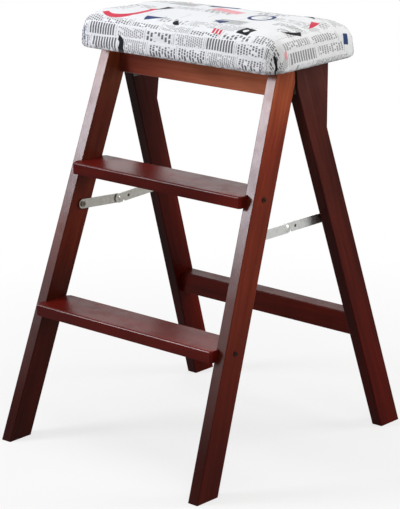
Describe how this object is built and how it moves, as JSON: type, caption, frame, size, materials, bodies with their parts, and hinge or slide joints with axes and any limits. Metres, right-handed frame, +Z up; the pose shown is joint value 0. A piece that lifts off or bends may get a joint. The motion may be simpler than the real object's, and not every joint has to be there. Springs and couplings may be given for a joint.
{
  "type": "folding step stool chair",
  "caption": "Folding wooden step stool with treads between splayed stiles, hinged rear legs, metal folding stays and a padded fabric seat.",
  "frame": {"origin": "on the floor, under the middle of the object's box", "axes": "+X to the right of someone facing the front, +Y to the back, +Z up"},
  "size_m": [0.423, 0.471, 0.663],
  "materials": {
    "mahogany_wood": "satin lacquer, dark red-brown stain",
    "dowel_wood": "bare beech",
    "plywood": "bare plywood",
    "steel": "zinc plated",
    "dark_steel": "bronzed",
    "cover_fabric": "printed woven cotton",
    "seat_foam": "open-cell foam"
  },
  "bodies": {
    "front_frame": {"front_stile_left": "mahogany_wood", "front_stile_right": "mahogany_wood", "upper_tread": "mahogany_wood", "lower_tread": "mahogany_wood", "top_rail": "mahogany_wood", "top_rail_dowels": "dowel_wood", "tread_screws_left": "dark_steel", "tread_screws_right": "dark_steel", "hinge_front_leaf_left": "steel", "hinge_front_leaf_right": "steel", "hinge_pin_left": "steel", "hinge_pin_right": "steel", "hinge_front_screws": "steel", "stay_front_screw_left": "steel", "stay_front_screw_right": "steel", "stay_front_washer_left": "steel", "stay_front_washer_right": "steel"},
    "rear_frame": {"rear_leg_left": "mahogany_wood", "rear_leg_right": "mahogany_wood", "rear_stretcher": "mahogany_wood", "stretcher_dowels": "dowel_wood", "hinge_rear_leaf_left": "steel", "hinge_rear_leaf_right": "steel", "hinge_rear_screws": "steel", "stay_rear_screw_left": "steel", "stay_rear_screw_right": "steel", "stay_rear_spacer_left": "steel", "stay_rear_spacer_right": "steel", "seat_bracket_left": "steel", "seat_bracket_right": "steel", "bracket_screws": "steel", "seat_board": "plywood", "seat_foam": "seat_foam", "seat_cover": "cover_fabric"},
    "left_front_link": {"stay_front_link_left": "steel", "stay_rivet_head_left": "steel"},
    "left_rear_link": {"stay_rear_link_left": "steel", "stay_rivet_tail_left": "steel"},
    "right_front_link": {"stay_front_link_right": "steel", "stay_rivet_head_right": "steel"},
    "right_rear_link": {"stay_rear_link_right": "steel", "stay_rivet_tail_right": "steel"}
  },
  "joints": [
    {"name": "frame_fold", "type": "hinge", "parent": "front_frame", "child": "rear_frame", "pos_m": [0, 0.0264, 0.563], "axis": [-1, 0, 0], "range_deg": [0, 36]},
    {"name": "left_front_link_turn", "type": "hinge", "parent": "front_frame", "child": "left_front_link", "pos_m": [-0.17, -0.078, 0.358], "axis": [-1, 0, 0], "range_deg": [0, 121.3]},
    {"name": "left_rear_link_turn", "type": "hinge", "parent": "rear_frame", "child": "left_rear_link", "pos_m": [-0.17, 0.1076, 0.356], "axis": [1, 0, 0], "range_deg": [0, 63.3]},
    {"name": "right_front_link_turn", "type": "hinge", "parent": "front_frame", "child": "right_front_link", "pos_m": [0.17, -0.064, 0.3578], "axis": [-1, 0, 0], "range_deg": [0, 135]},
    {"name": "right_rear_link_turn", "type": "hinge", "parent": "rear_frame", "child": "right_rear_link", "pos_m": [0.17, 0.122, 0.356], "axis": [1, 0, 0], "range_deg": [0, 56.1]}
  ],
  "couplings": [
    {"joint": "left_front_link_turn", "follows": "frame_fold", "ratio": 3.3671},
    {"joint": "left_rear_link_turn", "follows": "frame_fold", "ratio": 1.756},
    {"joint": "right_front_link_turn", "follows": "frame_fold", "ratio": 3.7496},
    {"joint": "right_rear_link_turn", "follows": "frame_fold", "ratio": 1.5578}
  ]
}
